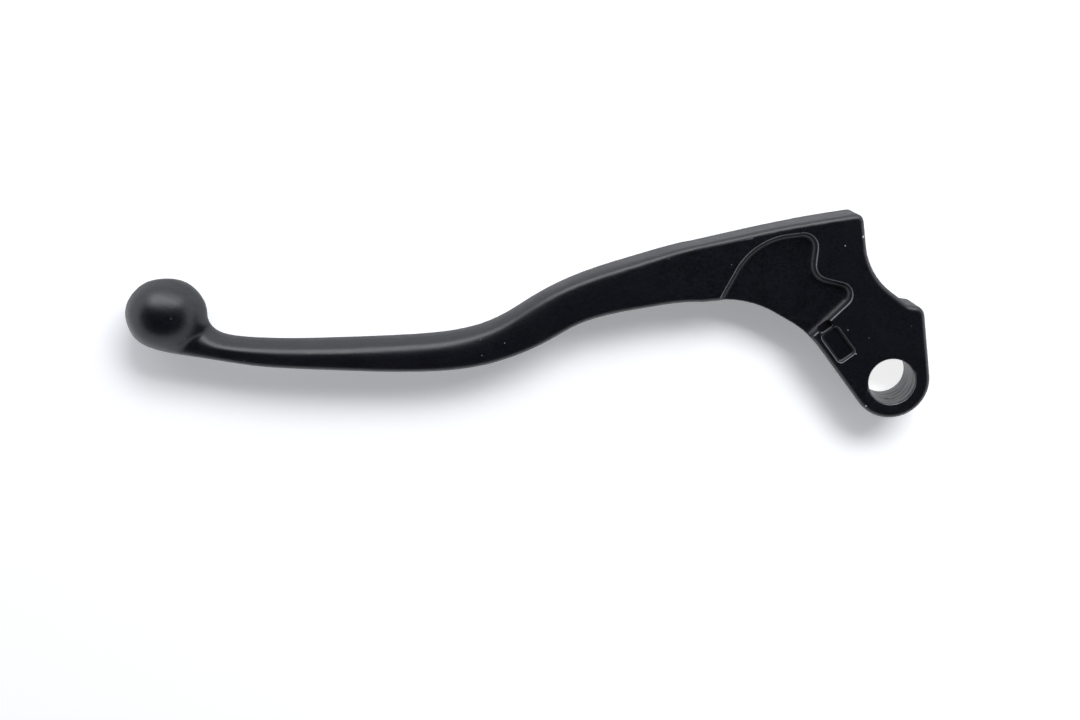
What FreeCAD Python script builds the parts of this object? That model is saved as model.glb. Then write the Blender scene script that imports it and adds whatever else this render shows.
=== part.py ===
import FreeCAD, Part
import math
import os

# Motorcycle clutch lever for the left handlebar: one die-cast aluminium piece.
# The origin is on the pivot axis, halfway through the lug. +X points inboard, +Y points forward,
# away from the handlebar, and +Z is up. The ball end lies outboard, at -X. Sizes are millimetres and degrees.

# Pivot lug
PIVOT_BORE = 10.0
LUG_WALL = 3.3
LUG_THICKNESS = 10.5
FACE_STEP = 0.3  # how far each lug face stands proud of the blade's root
STEP_SETBACK = 21.0  # from the pivot axis outboard to that step
LUG_EDGE_FALL = 53.0  # slope of the lug's outboard edge
BORE_CHAMFER = 0.3

# Heel in front of the pivot, with the notch and the shoulder on its inboard side
HEEL_SETBACK = 8.1
HEEL_FRONT = 36.3
HEEL_RADIUS = 1.8
HEEL_RISE = -2.5  # slope of the front edge at the heel, against the chord from the root to the heel
SIDE_LEAN = 8.5  # lean of the inboard edges
NOTCH_FALL = 37.0
NOTCH_RADIUS = 15.0
SHOULDER_SETIN = 2.5
SHOULDER_FRONT = 16.7
SHOULDER_FALL = 8.0
SHOULDER_FOOT_RADIUS = 1.5
SHOULDER_RADIUS = 2.4

# Root, where the flat plate hands over to the blade
ROOT_SETBACK = 43.0
ROOT_FRONT = 29.35
ROOT_WIDTH = 12.4
ROOT_RISE = 1.7  # slope of the front edge at the root, against the same chord
ROOT_BACK_RISE = 5.5  # slope of the back edge at the root
FRONT_BEND_RADIUS = 250.0
BACK_SETBACK = 26.0  # middle of the straight stretch between the root and the lug
BACK_FORWARD = 14.95
BACK_FALL = 30.0
BACK_BEND_RADIUS = 21.0
EDGE_RADIUS = 1.25
UNDER_EDGE_RADIUS = 0.9
WALL_DRAFT = 2.0  # lean of the cast outer walls, so that the plate is narrower below

# Blade: where its centre line runs and how wide it is there
WAIST_SETBACK = 58.0
WAIST_FORWARD = 20.1
WAIST_WIDTH = 9.8
BEND_SETBACK = 71.0
BEND_FORWARD = 15.45
BEND_WIDTH = 9.2
FOOT_SETBACK = 83.5
FOOT_FORWARD = 8.7
FOOT_WIDTH = 8.35
PALM_SETBACK = 98.0
PALM_FORWARD = 5.7
PALM_WIDTH = 7.45
GRIP_FORWARD = 5.25
GRIP_WIDTH = 6.15
NECK_FORWARD = 6.45
NECK_WIDTH = 5.05
NECK_RISE = 4.5  # slope of the front edge at the neck
NECK_BACK_RISE = 9.0  # slope of the back edge at the neck
BLADE_HEIGHT = 10.6
NECK_HEIGHT = 9.4

# Ball end
REACH = 164.4  # from the pivot axis to the tip of the ball
BALL_LENGTH = 17.2
BALL_DIAMETER = 15.5
NECK_RADIUS = 4.7  # concave blend between the blade's front edge and the ball
BALL_BLEND_ANGLE = 20.0  # where the back edge runs out on the ball, from its outboard end

# Scalloped recess in the upper face, open at the back edge
RECESS_DEPTH = 1.8
RECESS_FLOOR_RADIUS = 1.5
RECESS_RIM_RADIUS = 0.4
RECESS_MARGIN = 5.2  # from the root line inboard to the recess's outboard end
RECESS_OUTBOARD_RISE = 62.7
RECESS_FRONT = 32.0  # forward of the pivot, above the step
RECESS_FRONT_RISE = 7.5
RECESS_SIDE_SETBACK = 17.2
RECESS_SIDE_LEAN = 4.0
RECESS_LOBE_FORWARD = 21.9  # front edge of the inboard lobe, at its middle
RECESS_LOBE_FALL = 13.5
RECESS_LOBE_SETBACK = 13.4
RECESS_TAIL_SLOPE = 45.0
RECESS_TAIL_FORWARD = 14.1  # forward of the pivot, in line with the middle of the lobe
RECESS_SWEEP_RADIUS = 14.0
RECESS_CORNER_RADIUS = 3.0
RECESS_WAVE_RADIUS = 3.2
RECESS_LOBE_RADIUS = 2.6

# Small two-level pocket between the recess and the lug
POCKET_LENGTH = 7.5
POCKET_WIDTH = 4.2
POCKET_DEPTH = 0.9
POCKET_RIM = 1.6  # metal left between the pocket and the lug's outboard edge
POCKET_SETBACK = 13.75  # along that edge, from abreast of the pivot to the pocket's middle
POCKET_CORNER_RADIUS = 0.9
POCKET_FLOOR_RADIUS = 0.55
POCKET_RIM_RADIUS = 0.25
POCKET_NOTCH_LENGTH = 2.2
POCKET_NOTCH_DEPTH = 1.7
POCKET_NOTCH_OVERHANG = 1.9  # past the pocket's outboard end

# Cable seat in the underside of the heel
NIPPLE_BORE = 8.0
NIPPLE_DEPTH = 7.5
NIPPLE_SETBACK = 13.0
NIPPLE_FORWARD = 27.2
CABLE_SLOT = 3.0
CABLE_SLOT_DEPTH = 7.0

# Derived places
LUG_RADIUS = PIVOT_BORE / 2 + LUG_WALL
LUG_HALF = LUG_THICKNESS / 2
ROOT_HALF = LUG_HALF - FACE_STEP
FRONT_CHORD = math.degrees(math.atan2(HEEL_FRONT - ROOT_FRONT, ROOT_SETBACK - HEEL_SETBACK))
FRONT_SLOPE = FRONT_CHORD + ROOT_RISE
ROOT_HEADING = (FRONT_SLOPE + ROOT_BACK_RISE) / 2
BALL_A = BALL_LENGTH / 2
BALL_B = BALL_DIAMETER / 2
OVERRUN = 3.0  # how far cutting tools pass the metal
FAR = 2 * REACH
FILLET_SHARE = 0.9  # of the room that a fillet may take up

UP = FreeCAD.Vector(0, 0, 1)


def point(x, y, z=0.0):
    return FreeCAD.Vector(x, y, z)


def heading(degrees):
    """Unit vector in plan, measured from +X towards +Y."""
    angle = math.radians(degrees)
    return point(math.cos(angle), math.sin(angle))


def crossing(start_a, degrees_a, start_b, degrees_b):
    """Where two straight edges meet in plan."""
    a = heading(degrees_a)
    b = heading(degrees_b)
    gap = start_b - start_a
    along = (gap.x * b.y - gap.y * b.x) / (a.x * b.y - a.y * b.x)
    return start_a + a * along


def rounded_outline(corners):
    """Closed wire through (place, radius) corners, with a tangent arc at each corner.

    Where two arcs would meet on one side, both are made smaller until they fit.
    """
    count = len(corners)
    places = [place for place, radius in corners]
    sides = [places[(index + 1) % count] - places[index] for index in range(count)]
    half_angles = [(-sides[index - 1]).getAngle(sides[index]) / 2 for index in range(count)]
    tangents = [corners[index][1] / math.tan(half_angles[index]) for index in range(count)]
    room = [min(1.0, sides[index].Length / max(tangents[index] + tangents[(index + 1) % count], 1e-9))
            for index in range(count)]
    edges = []
    last = None
    for index in range(count + 1):
        here = index % count
        into = (places[here - 1] - places[here]).normalize()
        out = (places[(here + 1) % count] - places[here]).normalize()
        fit = min(room[here - 1], room[here])
        start = places[here] + into * (tangents[here] * fit)
        if last is not None and last.distanceToPoint(start) > 1e-6:
            edges.append(Part.LineSegment(last, start).toShape())
        last = places[here] + out * (tangents[here] * fit)
        if corners[here][1] > 0 and index < count:
            radius = corners[here][1] * fit
            bisector = (into + out).normalize()
            middle = places[here] + bisector * (radius / math.sin(half_angles[here]) - radius)
            edges.append(Part.Arc(start, middle, last).toShape())
    return Part.Wire(edges)


def inset_corners(corners, inset):
    """The same corners with every side moved inwards, for an outline that runs clockwise."""
    moved = []
    for index, (place, radius) in enumerate(corners):
        into = (place - corners[index - 1][0]).normalize()
        out = (corners[(index + 1) % len(corners)][0] - place).normalize()
        before = point(into.y, -into.x)
        after = point(out.y, -out.x)
        hollow = out.dot(before) < 0
        new_radius = radius + inset if hollow else radius - inset
        moved.append((place + (before + after) * (inset / (1 + before.dot(after))), max(new_radius, 0)))
    return moved


def prism(wire, bottom, top):
    """Upright solid on a plan outline."""
    face = Part.Face(wire)
    face.translate(point(0, 0, bottom))
    return face.extrude(point(0, 0, top - bottom))


def level_edges(solid, z):
    """Edges of a solid that lie wholly at one height."""
    return [edge for edge in solid.Edges
            if abs(edge.BoundBox.ZMin - z) < 1e-5 and abs(edge.BoundBox.ZMax - z) < 1e-5]


def half_space(place, direction):
    """Big block on the side of a plan line that a direction points to."""
    across = point(-direction.y, direction.x)
    start = place - across * FAR
    ring = [start, place + across * FAR, place + across * FAR + direction * FAR, start + direction * FAR]
    return prism(Part.makePolygon(ring + ring[:1]), -FAR, FAR)


# Plate: root, heel and lug

def root_corners():
    """Front and back ends of the line on which the plate hands over to the blade."""
    front = point(-ROOT_SETBACK, ROOT_FRONT)
    return front, front - heading(ROOT_HEADING + 90) * ROOT_WIDTH


def wall_inset(z):
    """How far the leaning outer walls lie inside the upper outline at one height."""
    return (LUG_HALF - z) * math.tan(math.radians(WALL_DRAFT))


def plate_outline(z):
    """Outline of root, heel and lug at one height, carried past the root line so that it can be cut there."""
    root_front, root_back = root_corners()
    heel = point(-HEEL_SETBACK, HEEL_FRONT)
    side = -90 + SIDE_LEAN
    shoulder = point(SHOULDER_SETIN, SHOULDER_FRONT)
    lug_side = heading(SIDE_LEAN) * LUG_RADIUS
    back = point(-BACK_SETBACK, BACK_FORWARD)
    lug_edge = heading(-90 - LUG_EDGE_FALL) * LUG_RADIUS
    corners = [
        (root_front - heading(FRONT_SLOPE) * OVERRUN, 0),
        (crossing(root_front, FRONT_SLOPE, heel, FRONT_CHORD + HEEL_RISE), FRONT_BEND_RADIUS),
        (heel, HEEL_RADIUS),
        (crossing(heel, side, shoulder, -NOTCH_FALL), NOTCH_RADIUS),
        (shoulder, SHOULDER_FOOT_RADIUS),
        (crossing(shoulder, -SHOULDER_FALL, lug_side, side), SHOULDER_RADIUS),
        (crossing(lug_side, side, lug_edge, -LUG_EDGE_FALL), LUG_RADIUS),
        (crossing(lug_edge, -LUG_EDGE_FALL, back, -BACK_FALL), BACK_BEND_RADIUS),
        (crossing(back, -BACK_FALL, root_back, ROOT_BACK_RISE), BACK_BEND_RADIUS),
        (root_back - heading(ROOT_BACK_RISE) * OVERRUN, 0),
    ]
    wire = rounded_outline(inset_corners(corners, wall_inset(z)))
    wire.translate(point(0, 0, z))
    return wire


def recess_tool():
    """Scalloped cutter with a rounded floor. Its open side lies clear of the back edge."""
    start = point(RECESS_MARGIN - ROOT_SETBACK, root_corners()[1].y)
    front = point(-STEP_SETBACK, RECESS_FRONT)
    side = point(-RECESS_SIDE_SETBACK, RECESS_FRONT)
    lobe = point(-RECESS_LOBE_SETBACK, RECESS_LOBE_FORWARD)
    tail = point(-RECESS_LOBE_SETBACK, RECESS_TAIL_FORWARD)
    tail_end = crossing(tail, RECESS_TAIL_SLOPE, point(0, -LUG_RADIUS), 0)
    wire = rounded_outline([
        (crossing(start, RECESS_OUTBOARD_RISE, point(0, -LUG_RADIUS), 0), 0),
        (crossing(start, RECESS_OUTBOARD_RISE, front, RECESS_FRONT_RISE), RECESS_SWEEP_RADIUS),
        (crossing(front, RECESS_FRONT_RISE, side, -90 - RECESS_SIDE_LEAN), RECESS_CORNER_RADIUS),
        (crossing(side, -90 - RECESS_SIDE_LEAN, lobe, -RECESS_LOBE_FALL), RECESS_WAVE_RADIUS),
        (crossing(lobe, -RECESS_LOBE_FALL, tail, RECESS_TAIL_SLOPE), RECESS_LOBE_RADIUS),
        (tail_end, 0),
    ])
    floor = LUG_HALF - RECESS_DEPTH
    tool = prism(wire, floor, LUG_HALF + OVERRUN)
    rounded = [edge for edge in level_edges(tool, floor) if edge.BoundBox.YMax > 1e-6 - LUG_RADIUS]
    return tool.makeFillet(min(RECESS_FLOOR_RADIUS, FILLET_SHARE * RECESS_DEPTH), rounded)


def on_end(edge):
    """Whether an edge is the raw end of the plate, beyond the root line."""
    beyond = [(vertex.Point - root_corners()[0]).dot(heading(ROOT_HEADING)) for vertex in edge.Vertexes]
    return max(beyond) < -OVERRUN / 2


def on_rim(edge, tool):
    """Whether an edge of the upper face was made by a cutter."""
    middle = edge.valueAt((edge.FirstParameter + edge.LastParameter) / 2)
    return tool.distToShape(Part.Vertex(middle))[0] < 1e-4


def plate(half):
    """Root, heel and lug of one thickness, with rounded edges and the recess cut in the upper face."""
    body = Part.makeLoft([plate_outline(-half), plate_outline(half)], True, True)
    least_corner = min(HEEL_RADIUS, SHOULDER_RADIUS) - wall_inset(-half)
    under_radius = min(UNDER_EDGE_RADIUS, FILLET_SHARE * least_corner)
    for z, radius in ((half, EDGE_RADIUS), (-half, under_radius)):
        body = body.makeFillet(radius, [edge for edge in level_edges(body, z) if not on_end(edge)])
    body = body.common(half_space(root_corners()[0], heading(ROOT_HEADING)))
    tool = recess_tool()
    body = body.cut(tool)
    rim = [edge for edge in level_edges(body, half) if on_rim(edge, tool)]
    return body.makeFillet(RECESS_RIM_RADIUS, rim)


def pocket_cutter(length, width, depth, middle):
    """Rounded cutter with its length along the lug's outboard edge."""
    along = heading(-LUG_EDGE_FALL)
    across = heading(90 - LUG_EDGE_FALL)
    centre = along * middle - across * (LUG_RADIUS - POCKET_RIM - POCKET_WIDTH / 2)
    ends = along * (length / 2)
    sides = across * (width / 2)
    corners = [centre - ends - sides, centre - ends + sides, centre + ends + sides, centre + ends - sides]
    wire = rounded_outline([(corner, POCKET_CORNER_RADIUS) for corner in corners])
    tool = prism(wire, LUG_HALF - depth, LUG_HALF + OVERRUN)
    radius = min(POCKET_FLOOR_RADIUS, FILLET_SHARE * min(POCKET_CORNER_RADIUS, depth - POCKET_RIM_RADIUS))
    return tool.makeFillet(radius, level_edges(tool, LUG_HALF - depth))


def pocket_notch():
    """Cutter of the deeper notch that leads from the pocket's outboard end towards the recess."""
    middle = (POCKET_NOTCH_LENGTH - POCKET_LENGTH) / 2 - POCKET_SETBACK - POCKET_NOTCH_OVERHANG
    width = POCKET_WIDTH - 2 * POCKET_RIM_RADIUS
    return pocket_cutter(POCKET_NOTCH_LENGTH, width, POCKET_NOTCH_DEPTH, middle)


def bore_tool():
    """Pivot bore with a small chamfer at each mouth."""
    reach = LUG_HALF + OVERRUN
    radius = PIVOT_BORE / 2
    bore = Part.makeCylinder(radius, 2 * reach, point(0, 0, -reach))
    mouth = radius + BORE_CHAMFER
    upper = Part.makeCone(radius, mouth, BORE_CHAMFER, point(0, 0, LUG_HALF - BORE_CHAMFER))
    lower = Part.makeCone(mouth, radius, BORE_CHAMFER, point(0, 0, -LUG_HALF))
    return bore.fuse([upper, lower])


def cable_tool():
    """Blind seat for the cable nipple, with a slot that lets the cable out on the inboard side."""
    bottom = -LUG_HALF - OVERRUN
    seat = point(-NIPPLE_SETBACK, NIPPLE_FORWARD, bottom)
    barrel = Part.makeCylinder(NIPPLE_BORE / 2, NIPPLE_DEPTH + OVERRUN, seat)
    corner = seat - point(0, CABLE_SLOT / 2)
    slot = Part.makeBox(NIPPLE_SETBACK, CABLE_SLOT, CABLE_SLOT_DEPTH + OVERRUN, corner)
    return barrel.fuse(slot)


def flat_part():
    """Everything inboard of the root line: the root, and the slightly thicker heel and lug."""
    step = point(-STEP_SETBACK, 0)
    root = plate(ROOT_HALF).common(half_space(step, heading(180)))
    lug = plate(LUG_HALF).common(half_space(step, heading(0)))
    pocket = pocket_cutter(POCKET_LENGTH, POCKET_WIDTH, POCKET_DEPTH, -POCKET_SETBACK)
    body = root.fuse(lug).removeSplitter().cut(pocket)
    body = body.makeFillet(POCKET_RIM_RADIUS, [edge for edge in level_edges(body, LUG_HALF) if on_rim(edge, pocket)])
    return body.cut([pocket_notch(), bore_tool(), cable_tool()])


# Blade, neck and ball

def handle(degrees):
    """Length of a cubic curve's handle for an arc of unit radius."""
    return 4 / 3 * math.tan(math.radians(degrees) / 4)


BALL_POLE = 86.0  # latitude of the flat that closes the ball, too small to see
CROWN_ARC = 60.0  # share of the full turn in each of the four broad sides of a section
CORNER_ARC = 90.0 - CROWN_ARC
FRONT_ROUNDNESS = (0.0, 0.25, 0.45, 0.65, 0.85, 0.97, 1.0)  # of the sections from the root to the neck
BACK_ROUNDNESS = (0.0, 0.06, 0.1, 0.12, 0.14, 0.18, 0.25)
BLADE_STEPS = 10
NECK_PULL = 0.62  # how far the back edge runs straight on below the ball
BALL_PULL = 0.25  # how far it follows the ball's own curve
SWELL = 1.5  # how late the neck's height grows into the ball's
UNDER_SHARES = (0.25, 0.5, 0.75, 1.0)
BALL_LATITUDES = (0.0, 22.5, 45.0, 62.0, 76.0)
CROWN_TO_CORNER = handle(CROWN_ARC) / handle(CORNER_ARC)


def section(front, back, half_height, front_roundness, back_roundness):
    """Upright closed wire between two plan points. Each side is a rounded bar's at 0 and an ellipse's at 1."""
    half_width = front.distanceToPoint(back) / 2
    centre = (front + back) / 2
    across = (front - back).normalize()
    flank = math.radians(CROWN_ARC / 2)
    sine, cosine = math.sin(flank), math.cos(flank)
    bar_handle = handle(90.0) * EDGE_RADIUS
    arc_handle = handle(CORNER_ARC)

    def add(pair, run, share):
        return (pair[0] + run[0] * share, pair[1] + run[1] * share)

    def quarter(roundness):
        """Poles from the middle of the crown over the corner to the middle of the wall."""
        def mix(bar, ellipse):
            return tuple(b + (e - b) * roundness for b, e in zip(bar, ellipse))

        top = mix((half_width - EDGE_RADIUS, half_height), (half_width * sine, half_height * cosine))
        side = mix((half_width, half_height - EDGE_RADIUS), (half_width * cosine, half_height * sine))
        top_run = mix((bar_handle, 0), (arc_handle * half_width * cosine, -arc_handle * half_height * sine))
        side_run = mix((0, -bar_handle), (arc_handle * half_width * sine, -arc_handle * half_height * cosine))
        crown = [add(top, top_run, -CROWN_TO_CORNER), top]
        corner = [top, add(top, top_run, 1), add(side, side_run, -1), side]
        return crown, corner, [side, add(side, side_run, CROWN_TO_CORNER)]

    def place(pairs, flip_s, flip_z):
        return [centre + across * (s * flip_s) + UP * (z * flip_z) for s, z in pairs]

    front_crown, front_corner, front_wall = quarter(front_roundness)
    back_crown, back_corner, back_wall = quarter(back_roundness)
    spans = [
        place(back_crown[::-1], -1, 1) + place(front_crown, 1, 1),
        place(front_corner, 1, 1),
        place(front_wall, 1, 1) + place(front_wall[::-1], 1, -1),
        place(front_corner[::-1], 1, -1),
        place(front_crown[::-1], 1, -1) + place(back_crown, -1, -1),
        place(back_corner, -1, -1),
        place(back_wall, -1, -1) + place(back_wall[::-1], -1, 1),
        place(back_corner[::-1], -1, 1),
    ]
    edges = []
    for span in spans:
        bezier = Part.BezierCurve()
        bezier.setPoles(span)
        edges.append(bezier.toShape())
    return Part.Wire(edges)


def smooth_line(places, parameters, first, last):
    """Smooth curve through plan points, with its end directions given."""
    curve = Part.BSplineCurve()
    curve.interpolate(Points=places, Parameters=parameters, InitialTangent=first, FinalTangent=last)
    return curve


def between(at, places, values):
    """Value at a place on a line of straight stretches."""
    for start, end, low, high in zip(places, places[1:], values, values[1:]):
        if at <= end:
            break
    return low + (high - low) * (at - start) / (end - start)


def fan_centre():
    """Centre of the concave neck: level with the ball, and one neck radius clear of it and of the blade."""
    neck_front = NECK_FORWARD + NECK_WIDTH / 2 * math.cos(math.radians(NECK_RISE))
    forward = neck_front + NECK_RADIUS * math.cos(math.radians(NECK_RISE))
    return point(-REACH + BALL_LENGTH + NECK_RADIUS, forward)


def blade_sections(root_wire):
    """Sections from the root line to the neck."""
    root_front, root_back = root_corners()
    down = heading(-90 - NECK_RISE)
    neck_front = fan_centre() + down * NECK_RADIUS
    neck_back = neck_front + down * NECK_WIDTH
    neck = (neck_front + neck_back) / 2
    grip = point((neck.x - PALM_SETBACK) / 2, GRIP_FORWARD)
    middles = [
        (root_front + root_back) / 2,
        point(-WAIST_SETBACK, WAIST_FORWARD),
        point(-BEND_SETBACK, BEND_FORWARD),
        point(-FOOT_SETBACK, FOOT_FORWARD),
        point(-PALM_SETBACK, PALM_FORWARD),
        grip,
        neck,
    ]
    root_width = ROOT_WIDTH - 2 * wall_inset(0)
    widths = [root_width, WAIST_WIDTH, BEND_WIDTH, FOOT_WIDTH, PALM_WIDTH, GRIP_WIDTH, NECK_WIDTH]
    heights = [2 * ROOT_HALF] + [BLADE_HEIGHT] * 5 + [NECK_HEIGHT]
    travel = [0.0]
    for start, end in zip(middles, middles[1:]):
        travel.append(travel[-1] + start.distanceToPoint(end))
    centre_line = smooth_line(middles, travel, heading(180 + ROOT_HEADING), heading(180 - NECK_RISE))
    fronts, backs = [], []
    for middle, width, at in zip(middles, widths, travel):
        ahead = centre_line.tangent(at)[0]
        across = point(ahead.y, -ahead.x)
        fronts.append(middle + across * (width / 2))
        backs.append(middle - across * (width / 2))
    front_line = smooth_line(fronts, travel, heading(180 + FRONT_SLOPE), heading(180 - NECK_RISE))
    back_line = smooth_line(backs, travel, heading(180 + ROOT_BACK_RISE), heading(180 - NECK_BACK_RISE))
    wires = [root_wire]
    for step in range(1, BLADE_STEPS + 1):
        at = travel[-1] * step / BLADE_STEPS
        half = between(at, travel, heights) / 2
        front_form = between(at, travel, FRONT_ROUNDNESS)
        back_form = between(at, travel, BACK_ROUNDNESS)
        wires.append(section(front_line.value(at), back_line.value(at), half, front_form, back_form))
    return wires


def ball_cut(latitude):
    """Where an upright plane through the fan centre cuts the ball: direction, near and far distances."""
    gap = BALL_A + NECK_RADIUS
    scaled = math.asin(BALL_A / gap * math.sin(math.radians(latitude)))
    tilt = math.atan(BALL_B / BALL_A * math.tan(scaled))
    cosine, sine = math.cos(tilt), math.sin(tilt)
    square = (cosine / BALL_A) ** 2 + (sine / BALL_B) ** 2
    middle = gap * cosine / BALL_A ** 2 / square
    spread = math.sqrt(max(middle ** 2 - ((gap / BALL_A) ** 2 - 1) / square, 0.0))
    return point(-cosine, sine), middle - spread, middle + spread


def ball_sections():
    """Sections that fan round the neck and over the ball, up to a tiny flat where they close."""
    centre = fan_centre()
    ball = point(-REACH + BALL_A, centre.y)
    blend = math.radians(BALL_BLEND_ANGLE)
    down = heading(-90 - NECK_RISE)
    start = centre + down * (NECK_RADIUS + NECK_WIDTH)
    end = ball + point(-BALL_A * math.cos(blend), -BALL_B * math.sin(blend))
    end_run = point(-BALL_A * math.sin(blend), BALL_B * math.cos(blend)).normalize()
    span = start.distanceToPoint(end)
    along = start + heading(180 - NECK_BACK_RISE) * (NECK_PULL * span)
    under = Part.BezierCurve()
    under.setPoles([start, along, end - end_run * (BALL_PULL * span), end])
    end_tilt = math.atan2(end.y - centre.y, centre.x - end.x)
    scaled = math.atan(BALL_A / BALL_B * math.tan(end_tilt))
    end_latitude = math.degrees(math.asin(math.sin(scaled) * (BALL_A + NECK_RADIUS) / BALL_A))
    end_half = BALL_B * math.cos(math.radians(end_latitude))
    wires = []
    for share in UNDER_SHARES:
        back = under.value(share)
        front = centre + (back - centre).normalize() * NECK_RADIUS
        half = NECK_HEIGHT / 2 + (end_half - NECK_HEIGHT / 2) * share ** SWELL
        form = BACK_ROUNDNESS[-1] + (1 - BACK_ROUNDNESS[-1]) * share
        wires.append(section(front, back, half, 1.0, form))
    for latitude in BALL_LATITUDES + (BALL_POLE,):
        direction, near, far = ball_cut(latitude)
        half = BALL_B * math.cos(math.radians(latitude))
        wires.append(section(centre + direction * near, centre + direction * far, half, 1.0, 1.0))
    return wires


def root_wire(flat):
    """Outer wire of the flat part's face on the root line."""
    front, back = root_corners()
    middle = (front + back) / 2
    for face in flat.Faces:
        if face.CenterOfMass.distanceToPoint(middle) < EDGE_RADIUS:
            return face.OuterWire
    raise ValueError("the flat part has no face on the root line")


def lever():
    flat = flat_part()
    blade = Part.makeLoft(blade_sections(root_wire(flat)) + ball_sections(), True)
    return flat.fuse(blade)


os.makedirs("parts", exist_ok=True)
whole = lever()
print("valid", whole.isValid(), "solids", len(whole.Solids), "volume", round(whole.Volume, 1))
whole.exportStep("parts/clutch_lever.step")
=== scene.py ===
"""Looks of a motorcycle clutch lever: satin black paint on cast aluminium, on a white table."""

import math

import bpy
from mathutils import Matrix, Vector

bl_info = {
    "name": "Clutch Lever Looks",
    "version": (1, 0, 0),
    "blender": (4, 5, 0),
    "location": "View3D > Sidebar > Lever",
    "description": "Paints the clutch lever and sets its table, lights and camera",
    "category": "Object",
}

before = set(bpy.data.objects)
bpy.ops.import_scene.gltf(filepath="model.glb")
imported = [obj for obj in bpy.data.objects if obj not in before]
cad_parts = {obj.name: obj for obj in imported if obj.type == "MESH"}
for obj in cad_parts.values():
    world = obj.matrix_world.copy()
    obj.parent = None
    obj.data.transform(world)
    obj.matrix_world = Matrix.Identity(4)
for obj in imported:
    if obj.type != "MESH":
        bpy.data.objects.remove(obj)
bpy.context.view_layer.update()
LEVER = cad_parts["clutch_lever"]
MM = 0.001

# Places on the lever in the row frame, in millimetres: X runs inboard along the lever, Z is height
BORE_RADIUS = 5.0
BORE_FADE = 0.1  # past the bore's wall, over which bare metal gives way to paint
BORE_PIT = (0.1, -5.0, 0.8)
BORE_PIT_RADIUS = 0.6
BALL_FOOT = (-155.8, -7.75)  # X and Z of the place where the ball touches the table
LUG_FOOT = (7.0, -5.25)  # the same for the lug's inboard edge
BALL_CENTRE = (-155.8, 13.65, 0.0)
BALL_HALF_AXES = (8.6, 7.75, 7.75)
BALL_BLEND = (1.24, 1.055)  # in half axes: where the ball's even shading starts and where it is full
BLADE_START = -46.0  # X of the place where the flat root gives way to the swept blade
BLADE_BLEND = 4.0  # length over which the blade's shading takes over
CREASE_ANGLE = 50.0  # degrees; sharper edges stay crisp
WELD_GAP = 0.001

# Pale rims, in millimetres: paint thinned by wear, with a painted highlight on top that stands in for
# the rims' reflections. They lie on rims of a small radius, inboard of a place on the root
STEP_PLACE = -21.0  # X of the step up from the root to the heel and lug
STEP_FADE = 0.05
ROOT_FACE, LUG_FACE = 4.95, 5.25  # heights of the two faces over the middle of the plate
HIGHLIT_WORN_END, HIGHLIT_WORN_START = -44.0, -40.0  # X where the pale rims, wear and painted highlight, end and where they are full
HIGHLIT_WORN_RADII = (0.85, 0.5)  # radii of the rims that stay plain paint and of those that are fully pale
HIGHLIT_WORN_FOOT = (0.3, 0.6)  # upright part of the normal, low on a rim: where the pale rim starts and is full
HIGHLIT_WORN_CREST = (0.985, 0.92)  # the same at the top of a rim

# Small chips in the paint, in millimetres: X, Y, Z and radius
CHIPS = (
    (-8.1, 31.35, 4.85, 0.32), (-11.7, 29.5, 5.25, 0.1), (-10.1, 11.4, 5.25, 0.09),
    (-19.3, 11.0, 3.3, 0.1), (-5.25, -5.4, 5.1, 0.18), (-8.1, 6.2, 5.25, 0.1),
    (-87.8, 5.85, 5.28, 0.08), (-82.9, 8.6, 5.3, 0.08),
)
CHIP_FADE = 0.05
PIT_FADE = 0.1

# Patterns of the finish: widths in millimetres, the rest as shares
DRIFT_WIDTH = 6.0
PAINT_SHADES = (0.2, 3.0)  # darkest and palest grain against the paint's colour
DUST_SPACING = 1.1
DUST_GRAIN = (0.14, 0.07)  # of the spacing: where a grain ends and where it is full
DUST_FREE = 0.93  # share of places without a grain
RING_STRETCH = 0.12  # squeezes the turning marks into rings round the bore
RING_DARK = 0.25  # dark rings against the alloy's colour
BORE_ROUGHNESS = 0.42
RELIEF_STRENGTH = 0.25
RELIEF_DEPTH = 0.02

# Stage, in metres
TABLE_SIZE = 6.0
LIGHTS_AIM = (-0.075, 0.0, 0.0)
LAMP_SIZE, LAMP_PLACE = (0.5, 0.26), (0.16, 0.52, 0.52)
PANEL_SIZE, PANEL_PLACE = (1.1, 0.46), (-0.075, 0.66, 0.37)
ROOM_COLOUR = "#f2f6ff"
SENSOR_WIDTH = 36.0  # millimetres


def linear(code):
    """Linear colour of an sRGB hex code."""
    shares = [int(code[place:place + 2], 16) / 255 for place in (1, 3, 5)]
    return tuple(s / 12.92 if s <= 0.04045 else ((s + 0.055) / 1.055) ** 2.4 for s in shares)


def add(tree, kind, inputs=None, **settings):
    """Adds a node with its settings, and sets or links its inputs.

    Mix nodes take inputs by place: 2 and 3 for numbers, 4 and 5 for vectors, 6 and 7 for colours.
    """
    made = tree.nodes.new(kind)
    for name, value in settings.items():
        setattr(made, name, value)
    for socket, value in (inputs or {}).items():
        if isinstance(value, bpy.types.NodeSocket):
            tree.links.new(value, made.inputs[socket])
        else:
            made.inputs[socket].default_value = value
    return made


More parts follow.
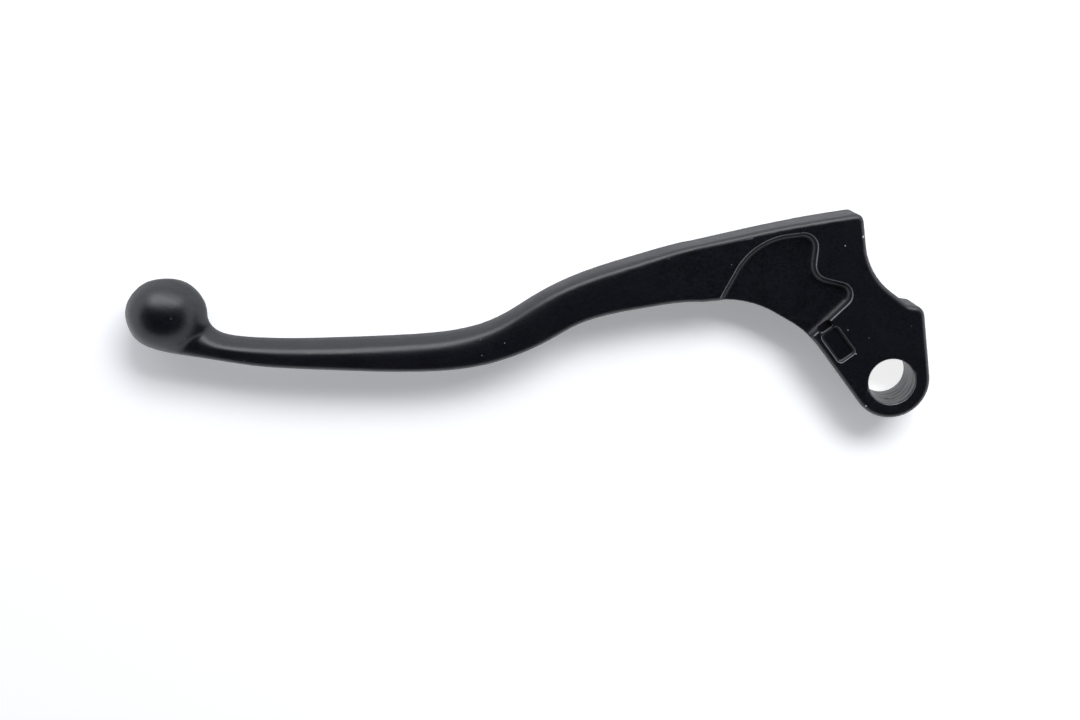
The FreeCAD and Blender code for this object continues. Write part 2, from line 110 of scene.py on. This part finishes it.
class LeverPaint(bpy.types.PropertyGroup):
    """Finish of the painted casting."""

    colour: bpy.props.FloatVectorProperty(
        name="Paint", description="Colour of the black paint",
        subtype="COLOR", size=3, min=0, max=1, default=linear("#07070d"))
    dust: bpy.props.FloatVectorProperty(
        name="Dust", description="Colour of the fine dust on the paint",
        subtype="COLOR", size=3, min=0, max=1, default=linear("#5a5a64"))
    alloy: bpy.props.FloatVectorProperty(
        name="Bare alloy", description="Colour of the machined pivot bore",
        subtype="COLOR", size=3, min=0, max=1, default=linear("#7c7e82"))
    # Pale rims: paint thinned by wear, lightened further by a painted highlight for the rims' reflections
    highlit_and_worn: bpy.props.FloatVectorProperty(
        name="Worn rims", description="Colour of the paint where it is rubbed thin on tight rims",
        subtype="COLOR", size=3, min=0, max=1, default=linear("#66676e"))
    chip: bpy.props.FloatVectorProperty(
        name="Chips", description="Colour of the small chips in the paint",
        subtype="COLOR", size=3, min=0, max=1, default=linear("#b4b6ba"))
    gloss: bpy.props.FloatProperty(
        name="Roughness", description="Roughness of the satin paint",
        default=0.34, min=0, max=1, subtype="FACTOR")
    gloss_sides: bpy.props.FloatProperty(
        name="Roughness, sides", description="Roughness of the paint on the rougher cast sides",
        default=0.58, min=0, max=1, subtype="FACTOR")
    sheen: bpy.props.FloatProperty(
        name="Sheen", description="Strength of the paint's reflections",
        default=0.6, min=0, max=1, subtype="FACTOR")
    peel: bpy.props.FloatProperty(
        name="Peel", description="Width of the grains in the sprayed paint",
        default=0.4 * MM, min=0.01 * MM, unit="LENGTH", precision=5)
    turning: bpy.props.FloatProperty(
        name="Turning marks", description="Spacing of the tool marks in the bore",
        default=0.7 * MM, min=0.01 * MM, unit="LENGTH", precision=5)


class LeverStage(bpy.types.PropertyGroup):
    """Table, light and camera."""

    table: bpy.props.FloatVectorProperty(
        name="Table", description="Colour of the table",
        subtype="COLOR", size=3, min=0, max=1, default=linear("#f4f5f7"))
    lamp_power: bpy.props.FloatProperty(
        name="Lamp", description="Power of the soft lamp", default=5.8, min=0, unit="POWER")
    panel_power: bpy.props.FloatProperty(
        name="Panel", description="Power of the pale panel that the paint mirrors",
        default=4.3, min=0, unit="POWER")
    room: bpy.props.FloatProperty(
        name="Room", description="Brightness of the pale wall behind the table", default=1.5, min=0)
    room_near: bpy.props.FloatProperty(
        name="Room, near side", description="Brightness of the wall on the near side", default=1.0, min=0)
    room_ends: bpy.props.FloatProperty(
        name="Room, ends", description="Brightness low on the walls at both ends", default=1.45, min=0)
    ceiling: bpy.props.FloatProperty(
        name="Ceiling", description="Brightness of the room overhead", default=0.03, min=0)
    lift: bpy.props.FloatProperty(
        name="Shadow lift", description="Light that the table adds to its own shadows",
        default=0.24, min=0, max=1)
    bore_lift: bpy.props.FloatProperty(
        name="Bore lift", description="Light that the table adds where it is seen through the bore",
        default=0.58, min=0, max=1)
    lens: bpy.props.FloatProperty(
        name="Lens", description="Focal length of the camera in millimetres", default=46.39, min=1)
    camera_place: bpy.props.FloatVectorProperty(
        name="Camera", description="Place of the camera", size=3, subtype="TRANSLATION", unit="LENGTH",
        default=(-75.4 * MM, 80.4 * MM, 292.2 * MM))
    camera_lean: bpy.props.FloatProperty(
        name="Lean", description="Lean of the camera from straight down",
        default=math.radians(14.75), subtype="ANGLE", unit="ROTATION")


def spot(tree, place, centre, radius, soft):
    """Share from 1 inside a small ball to 0 outside it. Sizes are millimetres."""
    middle = [c * MM for c in centre]
    away = add(tree, "ShaderNodeVectorMath", {0: place, 1: middle}, operation="DISTANCE")
    return add(tree, "ShaderNodeMapRange", {
        "Value": away.outputs["Value"],
        "From Min": (radius + soft) * MM, "From Max": (radius - soft) * MM}).outputs["Result"]


def ball_normal(tree, place):
    """Shading normal that is an even ellipsoid's on the ball end and the mesh's own elsewhere."""
    centre = [c * MM for c in BALL_CENTRE]
    axes = [c * MM for c in BALL_HALF_AXES]
    away = add(tree, "ShaderNodeVectorMath", {0: place, 1: centre}, operation="SUBTRACT")
    unit = add(tree, "ShaderNodeVectorMath", {0: away.outputs["Vector"], 1: axes}, operation="DIVIDE")
    reach = add(tree, "ShaderNodeVectorMath", {0: unit.outputs["Vector"]}, operation="LENGTH")
    on_ball = add(tree, "ShaderNodeMapRange", {
        "Value": reach.outputs["Value"], "From Min": BALL_BLEND[0], "From Max": BALL_BLEND[1]},
        interpolation_type="SMOOTHSTEP")
    slope = add(tree, "ShaderNodeVectorMath", {0: unit.outputs["Vector"], 1: axes}, operation="DIVIDE")
    outward = add(tree, "ShaderNodeVectorMath", {0: slope.outputs["Vector"]}, operation="NORMALIZE")
    even = add(tree, "ShaderNodeVectorTransform", {"Vector": outward.outputs["Vector"]},
               vector_type="NORMAL", convert_from="OBJECT", convert_to="WORLD")
    own = add(tree, "ShaderNodeNewGeometry").outputs["Normal"]
    mixed = add(tree, "ShaderNodeMix", {
        "Factor": on_ball.outputs["Result"], 4: own, 5: even.outputs["Vector"]}, data_type="VECTOR")
    return add(tree, "ShaderNodeVectorMath", {0: mixed.outputs[1]}, operation="NORMALIZE").outputs["Vector"]


def paint_material(finish):
    """Satin black paint on die-cast aluminium, with the pivot bore machined bare.

    Sprayed paint gives a soft wide gloss, a fine orange peel and a little dust. Tight rims get pale lines,
    partly paint thinned by wear and partly a painted highlight for their reflections. The reamed bore shows
    rings.
    """
    material = bpy.data.materials.new("satin_black_paint")
    material.use_nodes = True
    tree = material.node_tree
    tree.nodes.clear()
    place = add(tree, "ShaderNodeTexCoord").outputs["Object"]

    # Paint: two near-black shades in fine grains, and a roughness that drifts, higher on the cast sides
    drift = add(tree, "ShaderNodeTexNoise", {
        "Vector": place, "Scale": 1 / (DRIFT_WIDTH * MM), "Detail": 3.0})
    peel = add(tree, "ShaderNodeTexNoise", {"Vector": place, "Scale": 1 / finish.peel, "Detail": 2.0})
    spread = add(tree, "ShaderNodeMapRange", {
        "Value": peel.outputs["Fac"], "From Min": 0.35, "From Max": 0.7})
    dark, pale = [(*[c * share for c in finish.colour], 1) for share in PAINT_SHADES]
    shade = add(tree, "ShaderNodeMix", {
        "Factor": spread.outputs["Result"], 6: dark, 7: pale}, data_type="RGBA")
    normal = add(tree, "ShaderNodeNewGeometry").outputs["Normal"]
    facing = add(tree, "ShaderNodeVectorTransform", {"Vector": normal},
                 vector_type="NORMAL", convert_from="WORLD", convert_to="OBJECT")
    upright = add(tree, "ShaderNodeSeparateXYZ", {"Vector": facing.outputs["Vector"]})
    tilt = add(tree, "ShaderNodeMath", {0: upright.outputs["Z"]}, operation="ABSOLUTE").outputs["Value"]
    side = add(tree, "ShaderNodeMapRange", {
        "Value": tilt, "From Min": 0.2, "From Max": 0.6,
        "To Min": finish.gloss_sides, "To Max": finish.gloss})
    wander = add(tree, "ShaderNodeMapRange", {
        "Value": drift.outputs["Fac"], "From Min": 0.3, "From Max": 0.7, "To Min": -0.03, "To Max": 0.03})
    rough = add(tree, "ShaderNodeMath", {
        0: side.outputs["Result"], 1: wander.outputs["Result"]}, operation="ADD")

    # Dust: sparse grains about 0.2 mm wide, coarser than real ones so that they show
    cells = add(tree, "ShaderNodeTexVoronoi", {
        "Vector": place, "Scale": 1 / (DUST_SPACING * MM), "Randomness": 1.0})
    grain = add(tree, "ShaderNodeMapRange", {
        "Value": cells.outputs["Distance"], "From Min": DUST_GRAIN[0], "From Max": DUST_GRAIN[1]})
    chosen = add(tree, "ShaderNodeSeparateColor", {"Color": cells.outputs["Color"]})
    sparse = add(tree, "ShaderNodeMath", {
        0: chosen.outputs["Red"], 1: DUST_FREE}, operation="GREATER_THAN")
    dust = add(tree, "ShaderNodeMath", {
        0: grain.outputs["Result"], 1: sparse.outputs["Value"]}, operation="MULTIPLY")
    painted = add(tree, "ShaderNodeMix", {
        "Factor": dust.outputs["Value"], 6: shade.outputs[2], 7: (*finish.dust, 1)}, data_type="RGBA")

    # Pale rims: along the plate's tightest rims, unevenly, paint thinned by wear with a painted highlight
    # that stands in for the rims' reflections; and a few small chips. A rim's radius is its depth below the
    # plate's face over one less the upright part of its normal.
    parts = add(tree, "ShaderNodeSeparateXYZ", {"Vector": place})
    height = add(tree, "ShaderNodeMath", {0: parts.outputs["Z"]}, operation="ABSOLUTE")
    face = add(tree, "ShaderNodeMapRange", {
        "Value": parts.outputs["X"],
        "From Min": (STEP_PLACE - STEP_FADE) * MM, "From Max": (STEP_PLACE + STEP_FADE) * MM,
        "To Min": ROOT_FACE * MM, "To Max": LUG_FACE * MM})
    depth = add(tree, "ShaderNodeMath", {
        0: face.outputs["Result"], 1: height.outputs["Value"]}, operation="SUBTRACT")
    bend = add(tree, "ShaderNodeMath", {0: 1.0, 1: tilt}, operation="SUBTRACT")
    rim_radius = add(tree, "ShaderNodeMath", {
        0: depth.outputs["Value"], 1: bend.outputs["Value"]}, operation="DIVIDE")
    # Share of the pale rims, painted highlight and wear together, drifting unevenly
    highlit_and_rubbed = add(tree, "ShaderNodeMapRange", {
        "Value": drift.outputs["Fac"], "From Min": 0.3, "From Max": 0.6, "To Min": 0.5, "To Max": 1.0})
    for value, none, full in (
            (tilt, *HIGHLIT_WORN_FOOT), (tilt, *HIGHLIT_WORN_CREST),
            (rim_radius.outputs["Value"], HIGHLIT_WORN_RADII[0] * MM, HIGHLIT_WORN_RADII[1] * MM),
            (parts.outputs["X"], HIGHLIT_WORN_END * MM, HIGHLIT_WORN_START * MM)):
        highlit_and_rubbed = add(tree, "ShaderNodeMapRange", {
            "Value": value, "From Min": none, "From Max": full, "To Max": highlit_and_rubbed.outputs["Result"]})
    # Lightens the tight rims: a painted highlight together with paint thinned by wear
    painted = add(tree, "ShaderNodeMix", {
        "Factor": highlit_and_rubbed.outputs["Result"], 6: painted.outputs[2], 7: (*finish.highlit_and_worn, 1)}, data_type="RGBA")
    for x, y, z, radius in CHIPS:
        chipped = spot(tree, place, (x, y, z), radius, CHIP_FADE)
        painted = add(tree, "ShaderNodeMix", {
            "Factor": chipped, 6: painted.outputs[2], 7: (*finish.chip, 1)}, data_type="RGBA")

    # Bare metal: the bore's wall, with rings and one dark pit
    across = add(tree, "ShaderNodeVectorMath", {0: place, 1: (1, 1, 0)}, operation="MULTIPLY")
    reach = add(tree, "ShaderNodeVectorMath", {0: across.outputs["Vector"]}, operation="LENGTH")
    bare = add(tree, "ShaderNodeMapRange", {
        "Value": reach.outputs["Value"],
        "From Min": (BORE_RADIUS + BORE_FADE) * MM, "From Max": BORE_RADIUS * MM}).outputs["Result"]
    squeezed = add(tree, "ShaderNodeVectorMath", {
        0: place, 1: (RING_STRETCH, RING_STRETCH, 1)}, operation="MULTIPLY")
    rings = add(tree, "ShaderNodeTexNoise", {
        "Vector": squeezed.outputs["Vector"], "Scale": 1 / finish.turning, "Detail": 3.0})
    streaks = add(tree, "ShaderNodeMapRange", {
        "Value": rings.outputs["Fac"], "From Min": 0.38, "From Max": 0.66})
    ring_shade = add(tree, "ShaderNodeMix", {
        "Factor": streaks.outputs["Result"],
        6: (*[c * RING_DARK for c in finish.alloy], 1), 7: (*finish.alloy, 1)}, data_type="RGBA")
    pit = spot(tree, place, BORE_PIT, BORE_PIT_RADIUS, PIT_FADE)
    pitted = add(tree, "ShaderNodeMix", {
        "Factor": pit, 6: ring_shade.outputs[2], 7: (*finish.colour, 1)}, data_type="RGBA")

    # Both together
    colour = add(tree, "ShaderNodeMix", {
        "Factor": bare, 6: painted.outputs[2], 7: pitted.outputs[2]}, data_type="RGBA")
    roughness = add(tree, "ShaderNodeMix", {
        "Factor": bare, 2: rough.outputs["Value"], 3: BORE_ROUGHNESS}, data_type="FLOAT")
    relief = add(tree, "ShaderNodeMix", {
        "Factor": bare, 2: peel.outputs["Fac"], 3: rings.outputs["Fac"]}, data_type="FLOAT")
    bump = add(tree, "ShaderNodeBump", {
        "Height": relief.outputs[0], "Strength": RELIEF_STRENGTH, "Distance": RELIEF_DEPTH * MM,
        "Normal": ball_normal(tree, place)})
    shader = add(tree, "ShaderNodeBsdfPrincipled", {
        "Base Color": colour.outputs[2], "Roughness": roughness.outputs[0], "Metallic": bare,
        "Specular IOR Level": finish.sheen, "Normal": bump.outputs["Normal"]})
    add(tree, "ShaderNodeOutputMaterial", {"Surface": shader.outputs["BSDF"]})
    return material


def shading_group(item, name):
    """Gives an object a geometry modifier with a new node tree; returns the tree and what comes in."""
    tree = bpy.data.node_groups.new(name, "GeometryNodeTree")
    for way in ("INPUT", "OUTPUT"):
        tree.interface.new_socket("Geometry", in_out=way, socket_type="NodeSocketGeometry")
    item.modifiers.new(name, "NODES").node_group = tree
    return tree, add(tree, "NodeGroupInput").outputs["Geometry"]


def smooth_by_angle(item, degrees):
    """Welds an object's patches and gives it smooth shading that stops at edges sharper than an angle."""
    tree, mesh = shading_group(item, "smooth_by_angle")
    plain = add(tree, "GeometryNodeRemoveAttribute", {"Geometry": mesh, "Name": "custom_normal"})
    welded = add(tree, "GeometryNodeMergeByDistance", {
        "Geometry": plain.outputs["Geometry"], "Distance": WELD_GAP * MM})
    angle = add(tree, "GeometryNodeInputMeshEdgeAngle")
    soft = add(tree, "FunctionNodeCompare", {
        0: angle.outputs["Unsigned Angle"], 1: math.radians(degrees)}, operation="LESS_EQUAL")
    faces = add(tree, "GeometryNodeSetShadeSmooth", {
        "Geometry": welded.outputs["Geometry"], "Shade Smooth": True}, domain="FACE")
    edges = add(tree, "GeometryNodeSetShadeSmooth", {
        "Geometry": faces.outputs["Geometry"], "Shade Smooth": soft.outputs["Result"]}, domain="EDGE")
    add(tree, "NodeGroupOutput", {"Geometry": edges.outputs["Geometry"]})
    flats = item.modifiers.new("keep_flats_flat", "WEIGHTED_NORMAL")
    flats.keep_sharp = True


def even_normals(item, start, length):
    """Gives the swept blade its vertices' own normals, outboard of a place and over a length, both in mm."""
    tree, mesh = shading_group(item, "even_normals")
    normal = add(tree, "GeometryNodeInputNormal")
    even = add(tree, "GeometryNodeFieldOnDomain", domain="POINT", data_type="FLOAT_VECTOR")
    tree.links.new(normal.outputs["True Normal"], next(socket for socket in even.inputs if socket.enabled))
    place = add(tree, "GeometryNodeInputPosition")
    along = add(tree, "ShaderNodeSeparateXYZ", {"Vector": place.outputs["Position"]})
    share = add(tree, "ShaderNodeMapRange", {
        "Value": along.outputs["X"], "From Min": start * MM, "From Max": (start - length) * MM})
    mixed = add(tree, "ShaderNodeMix", {
        "Factor": share.outputs["Result"], 4: normal.outputs["Normal"],
        5: next(socket for socket in even.outputs if socket.enabled)}, data_type="VECTOR")
    unit = add(tree, "ShaderNodeVectorMath", {0: mixed.outputs[1]}, operation="NORMALIZE")
    done = add(tree, "GeometryNodeSetMeshNormal", {"Mesh": mesh}, mode="FREE", domain="CORNER")
    tree.links.new(unit.outputs["Vector"], done.inputs["Custom Normal"])
    add(tree, "NodeGroupOutput", {"Geometry": done.outputs["Mesh"]})


def card_material(stage):
    """Matt white card: an even pale sheet without gloss, which keeps the lever's shadow.

    To the camera and in reflections it adds a little light to its shadows, and more under the bore.
    """
    material = bpy.data.materials.new("matt_white_card")
    material.use_nodes = True
    tree = material.node_tree
    tree.nodes.clear()
    matt = add(tree, "ShaderNodeBsdfDiffuse", {"Color": (*stage.table, 1)})
    rays = add(tree, "ShaderNodeLightPath").outputs
    seen = rays["Is Camera Ray"]
    for kind in ("Is Glossy Ray", "Is Transmission Ray"):
        seen = add(tree, "ShaderNodeMath", {0: seen, 1: rays[kind]}, operation="MAXIMUM").outputs["Value"]
    place = add(tree, "ShaderNodeNewGeometry").outputs["Position"]
    flat = add(tree, "ShaderNodeVectorMath", {0: place, 1: (1, 1, 0)}, operation="MULTIPLY")
    under = spot(tree, flat.outputs["Vector"], (0, 0, 0), BORE_RADIUS + 0.5, 0.5)
    level = add(tree, "ShaderNodeMapRange", {
        "Value": under, "To Min": stage.lift, "To Max": stage.lift + stage.bore_lift})
    lift = add(tree, "ShaderNodeMath", {0: seen, 1: level.outputs["Result"]}, operation="MULTIPLY")
    glow = add(tree, "ShaderNodeEmission", {"Strength": lift.outputs["Value"]})
    both = add(tree, "ShaderNodeAddShader", {0: matt.outputs["BSDF"], 1: glow.outputs["Emission"]})
    add(tree, "ShaderNodeOutputMaterial", {"Surface": both.outputs["Shader"]})
    return material


def pale_room(stage):
    """Surroundings: a bright wall behind the table and duller ones elsewhere, under a dim ceiling."""
    world = bpy.data.worlds.new("pale_room")
    world.use_nodes = True
    tree = world.node_tree
    tree.nodes.clear()
    direction = add(tree, "ShaderNodeTexCoord").outputs["Generated"]
    parts = add(tree, "ShaderNodeSeparateXYZ", {"Vector": direction}).outputs

    # Brightness by direction, with Y forward and Z up: foot and low are what the far wall and the low
    # parts of all walls reach
    smooth = {"interpolation_type": "SMOOTHSTEP"}
    foot = add(tree, "ShaderNodeMapRange", {
        "Value": parts["Y"], "From Min": 0.8, "From Max": 0.97,
        "To Min": stage.room, "To Max": stage.room_ends}, **smooth).outputs["Result"]
    low = add(tree, "ShaderNodeMapRange", {
        "Value": parts["Y"], "From Min": -0.7, "From Max": -0.1,
        "To Min": stage.room_near, "To Max": stage.room_ends}, **smooth).outputs["Result"]
    far_wall = add(tree, "ShaderNodeMapRange", {
        "Value": parts["Y"], "From Min": 0.4, "From Max": 0.75,
        "To Min": stage.ceiling, "To Max": foot}, **smooth).outputs["Result"]
    low_walls = add(tree, "ShaderNodeMapRange", {
        "Value": parts["Z"], "From Min": 0.6, "From Max": 0.3,
        "To Min": stage.ceiling, "To Max": low}, **smooth).outputs["Result"]
    level = add(tree, "ShaderNodeMath", {0: far_wall, 1: low_walls}, operation="MAXIMUM").outputs["Value"]
    rays = add(tree, "ShaderNodeLightPath")
    strength = add(tree, "ShaderNodeMix", {
        "Factor": rays.outputs["Is Camera Ray"], 2: level, 3: 1.0}, data_type="FLOAT")
    shell = add(tree, "ShaderNodeBackground", {
        "Color": (*linear(ROOM_COLOUR), 1), "Strength": strength.outputs[0]})
    add(tree, "ShaderNodeOutputWorld", {"Surface": shell.outputs["Background"]})
    return world


class LEVER_OT_paint(bpy.types.Operator):
    """Paints the lever and smooths its shading"""

    bl_idname = "lever.paint"
    bl_label = "Paint Lever"

    def execute(self, context):
        LEVER.data.materials.clear()
        LEVER.data.materials.append(paint_material(context.scene.lever_paint))
        smooth_by_angle(LEVER, CREASE_ANGLE)
        even_normals(LEVER, BLADE_START, BLADE_BLEND)
        return {"FINISHED"}


class LEVER_OT_stage(bpy.types.Operator):
    """Makes the table, the lights, the surroundings and the camera"""

    bl_idname = "lever.stage"
    bl_label = "Set Stage"

    def execute(self, context):
        stage = context.scene.lever_stage
        scene = context.scene
        scene.view_settings.view_transform = "Standard"

        # Table: a plane through the ball's foot and the lug's foot
        run = LUG_FOOT[0] - BALL_FOOT[0]
        rise = LUG_FOOT[1] - BALL_FOOT[1]
        middle = ((LUG_FOOT[0] + BALL_FOOT[0]) / 2 * MM, 0, (LUG_FOOT[1] + BALL_FOOT[1]) / 2 * MM)
        slope = math.atan2(rise, run)
        bpy.ops.mesh.primitive_plane_add(size=TABLE_SIZE, location=middle, rotation=(0, -slope, 0))
        table = context.object
        table.name = "table"
        table.data.materials.append(card_material(stage))

        # Lights on the forward side: a soft lamp for the table and a pale panel that the paint mirrors
        for name, size, place, power, mirrored in (
                ("soft_lamp", LAMP_SIZE, LAMP_PLACE, stage.lamp_power, False),
                ("pale_panel", PANEL_SIZE, PANEL_PLACE, stage.panel_power, True)):
            lamp = bpy.data.lights.new(name, "AREA")
            lamp.shape = "RECTANGLE"
            lamp.size, lamp.size_y = size
            lamp.energy = power
            lamp_object = bpy.data.objects.new(name, lamp)
            lamp_object.location = place
            aim = Vector(LIGHTS_AIM) - lamp_object.location
            lamp_object.rotation_euler = aim.to_track_quat("-Z", "Y").to_euler()
            lamp_object.visible_glossy = mirrored
            lamp_object.visible_diffuse = not mirrored
            scene.collection.objects.link(lamp_object)

        scene.world = pale_room(stage)

        camera = bpy.data.cameras.new("camera")
        camera.sensor_width = SENSOR_WIDTH
        camera.lens = stage.lens
        camera.clip_start, camera.clip_end = 0.01, 20.0
        camera_object = bpy.data.objects.new("camera", camera)
        camera_object.location = stage.camera_place
        camera_object.rotation_euler = (-stage.camera_lean, 0, 0)
        scene.collection.objects.link(camera_object)
        scene.camera = camera_object
        return {"FINISHED"}


class LEVER_PT_looks(bpy.types.Panel):
    """Lists the lever's looks"""

    bl_idname = "LEVER_PT_looks"
    bl_label = "Clutch Lever"
    bl_space_type = "VIEW_3D"
    bl_region_type = "UI"
    bl_category = "Lever"

    def draw(self, context):
        for group in (context.scene.lever_paint, context.scene.lever_stage):
            for name in group.__annotations__:
                self.layout.prop(group, name)
        self.layout.operator("lever.paint")
        self.layout.operator("lever.stage")


CLASSES = (LeverPaint, LeverStage, LEVER_OT_paint, LEVER_OT_stage, LEVER_PT_looks)


def register():
    for item in CLASSES:
        bpy.utils.register_class(item)
    bpy.types.Scene.lever_paint = bpy.props.PointerProperty(type=LeverPaint)
    bpy.types.Scene.lever_stage = bpy.props.PointerProperty(type=LeverStage)


def unregister():
    del bpy.types.Scene.lever_stage
    del bpy.types.Scene.lever_paint
    for item in reversed(CLASSES):
        bpy.utils.unregister_class(item)


def main():
    register()
    bpy.ops.lever.paint()
    bpy.ops.lever.stage()


if __name__ == "__main__":
    main()
